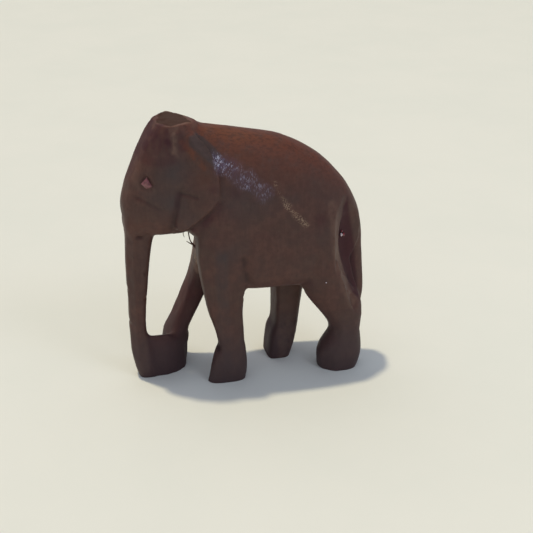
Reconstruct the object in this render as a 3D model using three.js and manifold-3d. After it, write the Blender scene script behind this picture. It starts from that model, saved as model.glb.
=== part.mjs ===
// A small walking elephant carved from one block of wood, with an inlaid eye on each side.
// The trunk hangs to the ground and stays joined to the right front foot by a web of the same wood.
//
// Units are millimetres. +Z is up and the feet stand on z = 0. The head points to -X and the
// elephant's left side, the one with the rear-set front leg, faces -Y. The origin is under the
// middle of the outline.
import * as THREE from 'three';
import { mergeVertices } from 'three/addons/utils/BufferGeometryUtils.js';
import Module from 'manifold-3d';

const wasm = await Module();
wasm.setup();

// Driving dimensions.
const LEFT = -1; // side of the elephant, as the sign of Y
const RIGHT = 1;
const BODY_SIDES = 32; // facets round a section of the torso or the head
const BODY_RINGS = 22; // sections along the torso or the head
const LIMB_SIDES = 20; // facets round a section of any other form
const RINGS_PER_ROW = 1.6; // sections of any other form for each row of its table
const ROUND_TOED = 2.2; // superellipse powers of the sections, from nearly round to boxy
const OVAL = 2.5;
const ROUNDED = 3;
const SQUARE = 3.9;
const BOXY = 5;
const MEETING_DISTANCE = 1e-4; // vertices this close are the same one
const INLAY_GAP = 0.3; // clearance between an eye and its socket
const EYE_DEPTH = 1.8; // thickness of an eye inlay
const EYE_BEVEL = 0.35; // width of the bevel round an eye's face
const EYE_PROUD = 0.35; // how far an eye stands out of its socket
const EYE = { x: -32.6, y: 8.1, z: 69.6, yaw: 24 }; // centre of the left eye's face, yaw in degrees
const TUSK_SOCKET = { x: -35, y: 3.4, z: 50.8, radius: 0.7, depth: 4 };
const TUSK_SOCKET_SIDES = 12;
const EAR_LEAN = 0.15; // how far the ear swings outwards for each millimetre towards its rear edge
const RECESS_LEAN = 0.2; // the same for the wall of the recess beside the tail, swinging inwards

const WOOD = new THREE.MeshStandardMaterial({ color: 0x4a2c22, roughness: 0.42, metalness: 0 });
const EYE_INLAY = new THREE.MeshStandardMaterial({ color: 0x8c4450, roughness: 0.35, metalness: 0 });

// Rows of a carved form: [station, low, high, y, half width, taper].
// The station runs along the form's axis. Low and high are the section's ends on the other
// in-plane axis: Z for a form along X, and X for a form along Z. Taper narrows the high end.
const TORSO = [
  [-25, 63, 86, 0, 6, 0.2],
  [-21, 56, 85.8, 0, 8.2, 0.2],
  [-15, 46, 84.8, 0, 10.4, 0.2],
  [-8, 33, 83.4, 0, 11.8, 0.18],
  [-2, 30.7, 82.2, 0, 12.5, 0.16],
  [10, 30.2, 79.5, 0, 12.9, 0.14],
  [19, 30.2, 75, 0, 12.8, 0.13],
  [26, 31.2, 69.6, 0, 12, 0.12],
  [32, 35, 62.5, 0, 9.8, 0.1],
  [35.6, 41, 55.5, 0, 6.2, 0.05],
  [37, 45, 51, 0, 2.4, 0],
];
const HEAD = [
  [50.6, -32, -20, 0, 3.2, 0],
  [51.8, -36, -17, 0, 6, -0.05],
  [54.5, -39, -15, 0, 8, -0.12],
  [58, -40, -13.5, 0, 9.2, -0.16],
  [62, -40, -12, 0, 10, -0.2],
  [68, -38.4, -12, 0, 10.3, -0.16],
  [74, -35.8, -13, 0.1, 10.2, -0.04],
  [79, -33.4, -13.8, 0.3, 9.9, 0.08],
  [83.5, -30.8, -14.8, 0.4, 9, 0.16],
  [86.8, -28.3, -16.8, 0.6, 8, 0.3],
];
const TRUNK = [
  [0, -37.2, -31, 0, 3.4, 0],
  [2.5, -38.2, -31, 0, 3.8, 0],
  [9, -39.4, -32, 0, 4, 0],
  [14, -39.6, -33.6, 0, 4, 0],
  [18, -39.6, -34.3, 0, 4, 0],
  [25, -39.6, -34, 0, 4, 0],
  [32, -39.7, -33.2, 0, 4, 0],
  [42, -39.6, -32, 0, 4.1, 0],
  [50, -39.4, -30.4, 0, 4.6, 0],
  [56, -39.8, -27, 0, 6, 0],
  [64, -38.4, -25, 0, 6, 0],
];
const LEFT_FRONT_LEG = [
  [0, -16.2, -3.2, -7.3, 5.6, 0],
  [2.5, -15.6, -2.8, -7.3, 5.7, 0],
  [6, -14.6, -2.7, -7.3, 5.6, 0],
  [9.5, -13.2, -2.9, -7.3, 5.3, 0],
  [12, -11.9, -3.2, -7.3, 5.1, 0],
  [14, -12.2, -3.5, -7.3, 5.1, 0],
  [24, -14.8, -3.9, -7.3, 5.4, 0],
  [30, -16, -3.4, -7.3, 5.7, 0],
  [37, -17.2, -2, -7.2, 6, 0],
  [46, -18, 1, -7, 6.2, 0],
  [56, -17.5, 4, -6.6, 5.9, 0],
  [64, -15, 3, -5.6, 5, 0],
  [71, -11, 0, -4.4, 4, 0],
];
const RIGHT_FRONT_LEG = [
  [0, -28, -20.8, 7.4, 5.6, 0],
  [3, -28, -20.2, 7.3, 5.8, 0],
  [7, -28, -20, 7.2, 5.8, 0],
  [11, -27.4, -19.6, 7, 5.8, 0],
  [13.5, -26, -19.9, 6.9, 5.7, 0],
  [17, -24.3, -18.4, 7, 5.5, 0],
  [25, -20.8, -14, 7.3, 5.3, 0],
  [33, -17.8, -9.6, 7.3, 5.6, 0],
  [43, -16, -3, 7.1, 6.1, 0],
  [54, -14.5, 1, 6.7, 6, 0],
  [64, -12.5, 2, 5.6, 5, 0],
  [71, -10, 0, 4.4, 4, 0],
];
const LEFT_HIND_LEG = [
  [0, 21.9, 35.8, -8.7, 6, 0],
  [2.5, 21.6, 36.2, -8.7, 5.9, 0],
  [5.5, 21.7, 36.6, -8.6, 5.9, 0],
  [8.5, 23, 36.4, -8.5, 5.7, 0],
  [12, 25.3, 36, -8.3, 5.4, 0],
  [14.5, 25.6, 36, -8.1, 5.3, 0],
  [18, 23.9, 36.4, -8.1, 5.4, 0],
  [22, 20.9, 37, -8, 5.7, 0],
  [27, 17.4, 36, -7.9, 6, 0],
  [32, 15.2, 34.6, -7.8, 6.3, 0],
  [42, 14, 32.4, -7.5, 6.5, 0],
  [52, 14, 30.4, -7, 6.2, 0],
  [62, 17, 26, -6, 4.5, 0],
];
const RIGHT_HIND_LEG = [
  [0, 7.2, 14.9, 3.8, 5.3, 0],
  [2.5, 7.2, 15.8, 3.9, 5.5, 0],
  [6, 7.4, 16.8, 4.3, 5.6, 0],
  [9, 8.2, 17.6, 4.9, 5.5, 0],
  [12, 9.6, 18.2, 5.5, 5.3, 0],
  [19, 10, 19.4, 6.4, 5.4, 0],
  [26, 10.2, 21, 7, 5.7, 0],
  [33, 11.4, 26, 7.4, 6.1, 0],
  [42, 13.5, 31.5, 7.5, 6.5, 0],
  [52, 14, 30.4, 7, 6.2, 0],
  [62, 17, 26, 6, 4.5, 0],
];
const TAIL = [
  [12, 33, 35, -4, 1.4, 0],
  [17, 32, 37.4, -3, 2.4, 0],
  [23, 31, 39, -1.6, 3, 0.1],
  [28, 30, 39.2, -0.6, 3.3, 0.2],
  [38, 29, 38.7, 0, 3.5, 0.3],
  [46, 29, 38.2, 0, 3.5, 0.3],
  [52, 28, 36.9, 0, 3.6, 0.3],
  [57, 25, 34.3, 0, 3.8, 0.2],
  [61, 22, 30, 0, 3.6, 0],
];
// The left ear follows the side of the head, with its rear edge standing out.
const LEFT_EAR = [
  [53.6, -24, -21.8, -9.3, 0.7, 0],
  [57, -24.2, -16.9, -10.1, 1.1, 0],
  [60, -23.9, -13.7, -10.4, 1.2, 0],
  [63, -23.6, -11.3, -10.5, 1.3, 0],
  [68, -23, -10.9, -10.2, 1.3, 0],
  [73, -22.6, -11.2, -9.5, 1.3, 0],
  [78, -22, -13, -8.8, 1.3, 0],
  [82, -21.4, -15.4, -8.2, 1.1, 0],
  [84.6, -19.8, -17.4, -7.6, 0.5, 0],
];
// The recess cut between the tail and the left thigh.
const LEFT_TAIL_RECESS = [
  [21, 39, 46, -10.6, 4.4, 0],
  [25, 35.6, 46, -10.2, 4.9, 0],
  [30, 31.8, 46, -9.9, 5.2, 0],
  [38, 28.8, 46, -9.7, 5.3, 0],
  [46, 27.3, 46, -9.8, 5.2, 0],
  [51, 27.8, 46, -10.1, 5, 0],
  [56, 29.6, 46, -10.7, 4.4, 0],
  [60, 32, 46, -11.5, 3.2, 0],
];
// The web between the trunk's tip and the right front foot, drawn on the ground as x and y.
const TRUNK_WEB_PLAN = [
  [-36.6, -3.1], [-28, -3.1], [-24.6, -1.9], [-21.9, 0.4], [-20.9, 3],
  [-21, 6.4], [-26.4, 6.4], [-28, 2.6], [-31, 0.4], [-36.8, 0.4],
];
const TRUNK_WEB_TOP = 15.3; // height of the web's top at its near side
const TRUNK_WEB_FALL = 0.5; // how far the top falls for each millimetre away from that side
const TRUNK_WEB_NEAR_SIDE = -3.1; // y of that side

// The slanting cut across the toes of the left front foot: a point on it, and its turn in degrees.
const TOE_CUT = { x: -14.5, y: -7.2, z: 4, yaw: -30, pitch: 6 };
const TOE_CUT_SIZE = [8, 26, 15];

// The eye's outline about its centre, as x and z: a diamond with a high point.
const EYE_OUTLINE = [[-1.7, -0.3], [-0.1, -1.7], [1.7, -1], [0.2, 2]];

// The point at an angle of a unit oval, whose low and high halves square up as their powers rise.
function ovalPoint(angle, [lowPower, highPower]) {
  const power = Math.sin(angle) < 0 ? lowPower : highPower;
  const soften = (value) => Math.sign(value) * Math.abs(value) ** (2 / power);
  return [soften(Math.cos(angle)), soften(Math.sin(angle))];
}

// Joins vertices that meet and turns the surface into a solid.
function solidFrom(geometry) {
  const bare = new THREE.BufferGeometry();
  bare.setAttribute('position', geometry.getAttribute('position'));
  bare.setIndex(geometry.index);
  const merged = mergeVertices(bare, MEETING_DISTANCE);
  return new wasm.Manifold(new wasm.Mesh({
    numProp: 3,
    vertProperties: new Float32Array(merged.attributes.position.array),
    triVerts: new Uint32Array(merged.index.array),
  }));
}

// The vertices that make up the triangles, in order.
function cornerOrder(geometry) {
  if (geometry.index) return [...geometry.index.array];
  return [...Array(geometry.attributes.position.count).keys()];
}

// The solid as drawn for the left side, or its mirror image for the right side.
function solidOnSide(side, geometry) {
  if (side === LEFT) return solidFrom(geometry);
  const mirrored = geometry.clone().scale(1, -1, 1);
  mirrored.setIndex(cornerOrder(mirrored).reverse());
  return solidFrom(mirrored);
}

// Smooth curves through a table's rows: where the sections lie, and how thick they are.
function curvesThrough(rows) {
  const curve = (points) => new THREE.CatmullRomCurve3(points, false, 'catmullrom');
  return {
    spine: curve(rows.map(([station, low, high]) => new THREE.Vector3(station, low, high))),
    girth: curve(rows.map(([, , , centre, half, taper]) => new THREE.Vector3(centre, half, taper))),
  };
}

// The points round one section, a fraction t of the way along the form.
function section({ spine, girth }, t, place, { sides, powers, lean }) {
  const { x: station, y: low, z: high } = spine.getPoint(t);
  const { x: centre, y: half, z: taper } = girth.getPoint(t);
  const points = [];
  for (let j = 0; j < sides; j += 1) {
    const [across, deep] = ovalPoint((2 * Math.PI * j) / sides, powers);
    const offset = ((high - low) / 2) * deep;
    const y = centre + half * (1 - taper * deep) * across + lean * offset;
    points.push(place(station, y, (low + high) / 2 + offset));
  }
  return points;
}

// The triangles of a tube of rings closed by a fan at each end. The fans' hubs come last.
function tubeTriangles(rings, sides, outwards) {
  const triangles = [];
  const firstHub = (rings + 1) * sides;
  const add = (a, b, c) => triangles.push(...(outwards ? [a, b, c] : [a, c, b]));
  for (let j = 0; j < sides; j += 1) {
    const k = (j + 1) % sides;
    for (let start = 0; start < rings * sides; start += sides) {
      add(start + j, start + k, start + sides + j);
      add(start + k, start + sides + k, start + sides + j);
    }
    add(firstHub, k, j);
    add(firstHub + 1, rings * sides + j, rings * sides + k);
  }
  return triangles;
}

// A form whose rounded sections follow smooth curves through the rows of its table.
function carvedForm(axis, rows, options = {}) {
  const { sides = LIMB_SIDES, rings = Math.round(rows.length * RINGS_PER_ROW) } = options;
  const { powers = [ROUNDED, ROUNDED], lean = 0 } = options;
  const alongX = axis === 'x';
  const place = (station, y, other) => (alongX ? [station, y, other] : [other, y, station]);
  const curves = curvesThrough(rows);
  const positions = [];
  for (let i = 0; i <= rings; i += 1) {
    positions.push(...section(curves, i / rings, place, { sides, powers, lean }).flat());
  }
  for (const end of [0, 1]) {
    const { x: station, y: low, z: high } = curves.spine.getPoint(end);
    positions.push(...place(station, curves.girth.getPoint(end).x, (low + high) / 2));
  }
  const geometry = new THREE.BufferGeometry();
  geometry.setAttribute('position', new THREE.Float32BufferAttribute(positions, 3));
  geometry.setIndex(tubeTriangles(rings, sides, alongX));
  return geometry;
}

// A flat plate whose outline lies on the elephant's side: drawn in x and z, thick along y.
function sidePlate(outline, thickness, bevel) {
  const shape = new THREE.Shape(outline.map(([x, z]) => new THREE.Vector2(x, z)));
  const geometry = new THREE.ExtrudeGeometry(shape, {
    depth: thickness - 2 * bevel,
    bevelEnabled: bevel > 0,
    bevelThickness: bevel,
    bevelSize: bevel,
    bevelOffset: -bevel,
    bevelSegments: 2,
  });
  geometry.translate(0, 0, bevel - thickness / 2);
  geometry.rotateX(Math.PI / 2);
  return geometry;
}

// The web stands upright on its plan, and its top slopes down away from the near side.
function trunkWeb() {
  const shape = new THREE.Shape(TRUNK_WEB_PLAN.map(([x, y]) => new THREE.Vector2(x, y)));
  const geometry = new THREE.ExtrudeGeometry(shape, { depth: TRUNK_WEB_TOP, bevelEnabled: false });
  const { position } = geometry.attributes;
  for (let i = 0; i < position.count; i += 1) {
    const fall = TRUNK_WEB_FALL * (position.getY(i) - TRUNK_WEB_NEAR_SIDE);
    if (position.getZ(i) > 0) position.setZ(i, TRUNK_WEB_TOP - fall);
  }
  return geometry;
}

// A block whose rear face pares the toes of the left front foot.
function toeCutter() {
  const geometry = new THREE.BoxGeometry(...TOE_CUT_SIZE);
  geometry.translate(-TOE_CUT_SIZE[0] / 2, 0, 0);
  geometry.rotateY(THREE.MathUtils.degToRad(TOE_CUT.pitch));
  geometry.rotateZ(THREE.MathUtils.degToRad(TOE_CUT.yaw));
  geometry.translate(TOE_CUT.x, TOE_CUT.y, TOE_CUT.z);
  return geometry;
}

// A left eye inlay, or its socket when grown by the clearance.
function leftEye(growth, bevel) {
  const outline = EYE_OUTLINE.map(([x, z]) => {
    const scale = 1 + growth / Math.hypot(x, z);
    return [x * scale, z * scale];
  });
  const geometry = sidePlate(outline, EYE_DEPTH + 2 * growth, bevel);
  geometry.translate(0, EYE_DEPTH / 2 - EYE_PROUD, 0);
  geometry.rotateZ(THREE.MathUtils.degToRad(-EYE.yaw));
  geometry.translate(EYE.x, -EYE.y, EYE.z);
  return geometry;
}

// The empty drilling beside the root of the trunk that once held the left tusk.
function leftTuskSocket() {
  const { radius, depth } = TUSK_SOCKET;
  const geometry = new THREE.CylinderGeometry(radius, radius, depth, TUSK_SOCKET_SIDES);
  geometry.translate(TUSK_SOCKET.x, -TUSK_SOCKET.y, TUSK_SOCKET.z);
  return geometry;
}

// A mesh with its own material from a solid.
function named(name, solid, material) {
  const { numProp, vertProperties, triVerts } = solid.getMesh();
  const positions = [];
  for (let i = 0; i < vertProperties.length; i += numProp) {
    positions.push(...vertProperties.subarray(i, i + 3));
  }
  const geometry = new THREE.BufferGeometry();
  geometry.setAttribute('position', new THREE.Float32BufferAttribute(positions, 3));
  geometry.setIndex(new THREE.BufferAttribute(triVerts, 1));
  geometry.computeVertexNormals();
  const mesh = new THREE.Mesh(geometry, material);
  mesh.name = name;
  return mesh;
}

function joinedForms() {
  const ear = carvedForm('z', LEFT_EAR, { lean: -EAR_LEAN });
  const squareLegs = [LEFT_FRONT_LEG, RIGHT_FRONT_LEG, RIGHT_HIND_LEG];
  const forms = [
    carvedForm('x', TORSO, { sides: BODY_SIDES, rings: BODY_RINGS, powers: [SQUARE, OVAL] }),
    carvedForm('z', HEAD, { sides: BODY_SIDES, rings: BODY_RINGS, powers: [OVAL, OVAL] }),
    carvedForm('z', TRUNK),
    ...squareLegs.map((rows) => carvedForm('z', rows, { powers: [SQUARE, SQUARE] })),
    carvedForm('z', LEFT_HIND_LEG, { powers: [ROUND_TOED, ROUNDED] }),
    trunkWeb(),
  ];
  const ears = [LEFT, RIGHT].map((side) => solidOnSide(side, ear));
  return [...forms.map(solidFrom), ...ears].reduce((whole, form) => whole.add(form));
}

function carvedBody() {
  const recess = carvedForm('z', LEFT_TAIL_RECESS, { powers: [BOXY, BOXY], lean: RECESS_LEAN });
  const cutters = [leftEye(INLAY_GAP, 0), leftTuskSocket(), recess];
  const cuts = [LEFT, RIGHT].flatMap((side) => cutters.map((cutter) => solidOnSide(side, cutter)));
  cuts.push(solidFrom(toeCutter()));
  const cutBody = cuts.reduce((whole, cut) => whole.subtract(cut), joinedForms());
  return cutBody.add(solidFrom(carvedForm('z', TAIL)));
}

function eye(name, side) {
  return named(name, solidOnSide(side, leftEye(0, EYE_BEVEL)), EYE_INLAY);
}

// Moves every mesh by the same amount, so that the origin lies under the middle of the outline.
function centreOnGround(group) {
  const middle = new THREE.Box3().setFromObject(group).getCenter(new THREE.Vector3());
  group.children.forEach((mesh) => mesh.geometry.translate(-middle.x, -middle.y, 0));
}

const elephant = new THREE.Group();
elephant.add(named('carved_body', carvedBody(), WOOD));
elephant.add(eye('left_eye', LEFT));
elephant.add(eye('right_eye', RIGHT));
centreOnGround(elephant);

export default elephant;
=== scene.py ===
"""A carved and varnished wooden elephant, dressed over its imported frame.

Lengths are worked in millimetres and brought to metres when a mesh is made. The head points
to -X, the elephant's left side faces -Y and the feet stand on z = 0.
"""
import math

import bmesh
import bpy
import numpy as np
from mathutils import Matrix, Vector


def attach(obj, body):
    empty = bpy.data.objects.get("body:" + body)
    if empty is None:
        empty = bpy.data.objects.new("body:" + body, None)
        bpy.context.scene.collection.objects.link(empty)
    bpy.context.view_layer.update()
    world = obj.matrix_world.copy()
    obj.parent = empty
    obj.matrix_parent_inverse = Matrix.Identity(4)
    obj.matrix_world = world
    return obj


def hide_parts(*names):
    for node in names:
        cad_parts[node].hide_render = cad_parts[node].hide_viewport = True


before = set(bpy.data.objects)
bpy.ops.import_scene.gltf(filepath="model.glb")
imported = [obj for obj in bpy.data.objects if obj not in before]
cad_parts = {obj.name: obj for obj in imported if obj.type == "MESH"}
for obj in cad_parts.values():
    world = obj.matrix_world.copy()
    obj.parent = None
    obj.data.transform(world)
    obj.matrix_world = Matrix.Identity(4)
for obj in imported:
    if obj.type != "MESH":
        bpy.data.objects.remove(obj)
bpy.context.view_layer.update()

MM = 0.001
LEFT, RIGHT = -1.0, 1.0
TABLE_SHIFT = np.array([0.464, 0.361, 0.0])  # from the tables' origin to the frame's
CROWN_TOP = 86.7  # the head is sawn off flat at this height
UNDERGROUND = -1.5  # the feet start here and are cut flat at the ground
ROUGH_PITCH = 0.5  # distance between the points of the blank before the recesses are cut
SKIN_PITCH = 0.49  # distance between the finished skin's points
FACET_COUNT = 420  # shallow knife cuts all over the body

# ----------------------------------------
# Rows of a carved form: station, low, high, y, half width, and a taper where the section's
# high end is narrower. The station runs along the form's axis; low and high are the section's
# ends on the other in-plane axis.
TORSO = [
    [-25, 60, 86, 0, 6, .2], [-21, 52.6, 85.8, 0, 8.2, .2], [-15, 45.5, 84.8, 0, 10.4, .2],
    [-8, 33, 83.4, 0, 11.8, .18], [-2, 30.7, 82.2, 0, 12.5, .16], [10, 30.2, 79.5, 0, 12.9, .14],
    [19, 30.2, 75, 0, 12.8, .13], [26, 31.2, 69.6, 0, 12, .12], [32, 35, 62.5, 0, 9.8, .1],
    [35.6, 41, 55.5, 0, 6.2, .05], [37, 45, 51, 0, 2.4, 0],
]
HEAD = [
    [50.6, -32, -20, 0, 3.2, 0], [51.8, -36, -17, 0, 6, -.05], [54.5, -39, -15, 0, 8, -.12],
    [58, -40, -13.5, 0, 9.2, -.16], [62, -40, -12, 0, 10, -.2], [68, -38.4, -12, 0, 10.3, -.16],
    [74, -35.8, -13, .1, 10.2, -.04], [79, -33.4, -13.8, .3, 9.9, .08],
    [83.5, -30.9, -14.8, .4, 9.1, .16], [86.3, -28.9, -16, .5, 8.5, .26],
    [88, -27.8, -17, .6, 8, .34],
]
TRUNK = [
    [-1.5, -37, -30.9, 0, 3.5], [0, -37.3, -31, 0, 3.6], [2.5, -38.2, -31, 0, 3.8],
    [9, -39.4, -32, 0, 4], [14, -39.6, -33.6, 0, 4], [18, -39.6, -34.3, 0, 4],
    [25, -39.6, -34, 0, 4], [32, -39.7, -33.2, 0, 4], [42, -39.6, -32, 0, 4.1],
    [50, -39.4, -30.4, 0, 4.6], [56, -39.8, -27, 0, 6], [64, -38.4, -25, 0, 6],
]
LEFT_FRONT_LEG = [
    [-1.5, -16.4, -3.4, -7.3, 5.6], [0, -16.2, -3.2, -7.3, 5.6], [2.5, -15.6, -2.8, -7.3, 5.7],
    [6, -14.6, -2.7, -7.3, 5.6], [9.5, -13.2, -2.9, -7.3, 5.3], [12, -11.9, -3.2, -7.3, 5.1],
    [14, -12.2, -3.5, -7.3, 5.1], [24, -14.8, -3.9, -7.3, 5.4], [30, -16, -3.4, -7.3, 5.7],
    [37, -17.2, -2, -7.2, 6], [46, -18, 1, -7, 6.2], [56, -17.5, 4, -6.6, 5.9],
    [64, -15, 3, -5.6, 5], [71, -11, 0, -4.4, 4],
]
RIGHT_FRONT_LEG = [
    [-1.5, -28, -20.9, 7.4, 5.6], [0, -28, -20.8, 7.4, 5.6], [3, -28, -20.2, 7.3, 5.8],
    [7, -28, -20, 7.2, 5.8], [11, -27.4, -19.6, 6.6, 6.2], [13.5, -26, -19.9, 6.2, 6.5],
    [17, -24.3, -18.4, 6.4, 6.2], [25, -20.8, -14, 7, 5.7], [33, -17.8, -9.6, 7.3, 5.6],
    [43, -16, -3, 7.1, 6.1], [54, -14.5, 1, 6.7, 6], [64, -12.5, 2, 5.6, 5], [71, -10, 0, 4.4, 4],
]
LEFT_HIND_LEG = [
    [-1.5, 22.2, 34, -8.7, 5.9], [0, 21.9, 34.8, -8.7, 6], [2.5, 21.6, 35.8, -8.7, 5.9],
    [5.5, 21.7, 36.4, -8.6, 5.9], [8.5, 23, 36.4, -8.5, 5.7], [12, 25.3, 36, -8.3, 5.4],
    [14.5, 25.6, 36, -8.1, 5.3], [18, 23.9, 36.4, -8.1, 5.4], [22, 20.9, 37, -8, 5.7],
    [27, 17.4, 36, -7.9, 6], [32, 15.2, 34.6, -7.8, 6.3], [42, 14, 32.4, -7.5, 6.5],
    [52, 14, 30.4, -7, 6.2], [62, 17, 26, -6, 4.5],
]
RIGHT_HIND_LEG = [
    [-1.5, 6.9, 14.2, 3.8, 5.3], [0, 6.9, 14.8, 3.8, 5.4], [2.5, 7, 15.8, 3.9, 5.5],
    [6, 7.4, 16.8, 4.3, 5.6], [9, 8.2, 17.6, 4.9, 5.5], [12, 9.6, 18.2, 5.5, 5.3],
    [19, 10, 19.4, 6.4, 5.4], [26, 10.2, 21, 7, 5.7], [33, 11.4, 26, 7.4, 6.1],
    [42, 13.5, 31.5, 7.5, 6.5], [52, 14, 30.4, 7, 6.2], [62, 17, 26, 6, 4.5],
]
TAIL = [
    [12, 33, 35, -4, 1.4, 0], [17, 32, 37.4, -3, 2.4, 0], [23, 31, 39, -1.6, 3, .1],
    [28, 30, 39.3, -.6, 3.3, .2], [38, 29, 38.7, 0, 3.5, .3], [46, 29, 38.2, 0, 3.5, .3],
    [52, 28, 36.9, 0, 3.6, .3], [57, 25, 34.3, 0, 3.8, .2], [61, 22, 30, 0, 3.6, 0],
]
LEFT_EAR = [
    [53.6, -24, -21.8, -9.3, .7], [55, -24.2, -19.4, -9.7, .9], [57, -24.2, -16.9, -10.1, 1.1],
    [60, -23.9, -13.7, -10.4, 1.2], [63, -23.6, -11.3, -10.5, 1.3], [68, -23, -10.9, -10.2, 1.3],
    [73, -22.6, -11.2, -9.5, 1.3], [78, -22, -13, -8.8, 1.3], [82, -21.4, -15.4, -8.2, 1.1],
    [84.6, -19.8, -17.4, -7.6, .5],
]
TAIL_RECESS = [
    [21, 39, 46, -10.6, 4.4], [25, 35.6, 46, -10.2, 4.9], [30, 31.8, 46, -9.9, 5.2],
    [38, 28.8, 46, -9.7, 5.3], [46, 27.3, 46, -9.8, 5.2], [51, 27.8, 46, -10.1, 5],
    [56, 29.6, 46, -10.7, 4.4], [60, 32, 46, -11.5, 3.2],
]
# The web of wood between the tip of the trunk and the right front foot: x, y, top.
TRUNK_WEB = [
    [-36.6, -3.1, 15.4], [-28, -3.1, 15.2], [-24.6, -1.9, 14], [-21.9, .4, 12.6], [-20.9, 3, 12],
    [-21, 6.4, 10], [-26.4, 6.4, 10], [-28, 2.6, 12], [-31, .4, 13.4], [-36.8, .4, 13.6],
]

# The two axes that an outline is drawn on.
FROM_ABOVE, FROM_THE_SIDE = (0, 1), (0, 2)
# The rim of the eye's socket, in x and z.
EYE_RIM = [(-33.9, 69.4), (-32.4, 72), (-30.6, 69.4), (-31.1, 67.7), (-33.5, 68), (-33.9, 69.4)]
EYE_PLACE = (-32.25, 7.95, 69.7)  # the right eye's middle, from the frame's origin
# The flat facet on top of the crown, in x and y.
CROWN_FACET = [(-27.5, -2.7), (-25.6, 6.3), (-22.6, 9), (-18.9, 3.6), (-18, -3.6), (-24.1, -7)]
# The hollow beside the tail, where purple shade is painted: its front and back edges in x, at these
# heights.
HOLLOW_HEIGHTS = [20, 24, 29, 37.6, 45.5, 50.7, 56.4, 60]
HOLLOW_FRONT = [36.5, 34, 31.4, 29.1, 27.5, 27.7, 29.2, 31]
HOLLOW_BACK = [36.2, 36.9, 36.8, 35.8, 34.2, 33, 31.6, 31]


def between_rows(rows, count):
    """Rows read off at `count` even steps along a smooth curve through a table: on each stretch
    the curve is the cubic whose slopes are half the difference of the neighbouring rows."""
    table = np.array(rows, float)
    padded = np.vstack([2 * table[0] - table[1], table, 2 * table[-1] - table[-2]])
    where = np.linspace(0, len(table) - 1, count)
    start = np.minimum(where.astype(int), len(table) - 2)
    f = (where - start)[:, None]
    before, here, after, beyond = (padded[start + i] for i in range(4))
    bend = 2 * before - 5 * here + 4 * after - beyond
    twist = 3 * (here - after) + beyond - before
    return here + 0.5 * f * (after - before + f * (bend + f * twist))


def tube_faces(rings, sides):
    """Four-sided faces between neighbouring rings, and one many-sided face at each end."""
    ring, side = np.meshgrid(np.arange(rings - 1), np.arange(sides), indexing="ij")
    here = ring * sides + side
    beside = ring * sides + (side + 1) % sides
    walls = np.stack([here, beside, beside + sides, here + sides], -1).reshape(-1, 4)
    first = np.arange(sides)[::-1]
    last = (rings - 1) * sides + np.arange(sides)
    return [*walls.tolist(), first.tolist(), last.tolist()]


def carved_form(rows, along="z", rings=90, sides=96, powers=(3, 3), lean=0.0):
    """A surface in (t, angle): t picks a row of the smoothed table, and the angle walks round a
    superellipse, whose low and high halves have powers of their own. A lean swings the
    section sideways in proportion to its depth."""
    station, low, high, centre, half, *rest = between_rows(rows, rings).T[:, :, None]
    taper = rest[0] if rest else 0
    angle = (2 * np.pi * np.arange(sides) / sides)[None, :]
    power = np.where(np.sin(angle) < 0, *powers)
    across = np.sign(np.cos(angle)) * np.abs(np.cos(angle)) ** (2 / power)
    deep = np.sign(np.sin(angle)) * np.abs(np.sin(angle)) ** (2 / power)
    offset = (high - low) / 2 * deep
    y = centre + half * (1 - taper * deep) * across + lean * offset
    other = (low + high) / 2 + offset
    station = station + 0 * y
    order = (station, y, other) if along == "x" else (other, y, station)
    faces = tube_faces(rings, sides)
    if along == "z":
        faces = [face[::-1] for face in faces]
    return np.stack(order, -1).reshape(-1, 3) + TABLE_SHIFT, faces


def mirrored(form):
    """The same form on the other side: y changes sign and each face is walked backwards."""
    points, faces = form
    flipped = (points - TABLE_SHIFT) * [1, -1, 1] + TABLE_SHIFT
    return flipped, [face[::-1] for face in faces]


def prism(plan, low):
    """An upright form on a plan of x, y and top: the outline at one low height, and again at the
    top that each corner has of its own."""
    corners = np.array(plan, float)
    floor = np.column_stack([corners[:, :2], np.full(len(corners), low)])
    return np.vstack([floor, corners]) + TABLE_SHIFT, tube_faces(2, len(corners))


def mesh_object(name, forms):
    """One mesh object from several closed forms, brought from millimetres to metres."""
    points, faces, start = [], [], 0
    for form_points, form_faces in forms:
        points.append(form_points)
        faces += [[start + i for i in face] for face in form_faces]
        start += len(form_points)
    mesh = bpy.data.meshes.new(name)
    mesh.from_pydata(np.vstack(points) * MM, [], faces)
    mesh.update()
    made = bpy.data.objects.new(name, mesh)
    bpy.context.scene.collection.objects.link(made)
    return made


def finished_mesh(thing):
    """The mesh with its modifiers worked in."""
    graph = bpy.context.evaluated_depsgraph_get()
    return bpy.data.meshes.new_from_object(thing.evaluated_get(graph), depsgraph=graph)


def one_skin(name, forms, pitch):
    """The forms fused into a single skin of small even faces."""
    made = mesh_object(name, forms)
    fuse = made.modifiers.new("fuse", "REMESH")
    fuse.mode = "VOXEL"
    fuse.voxel_size = pitch * MM
    return made


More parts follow.
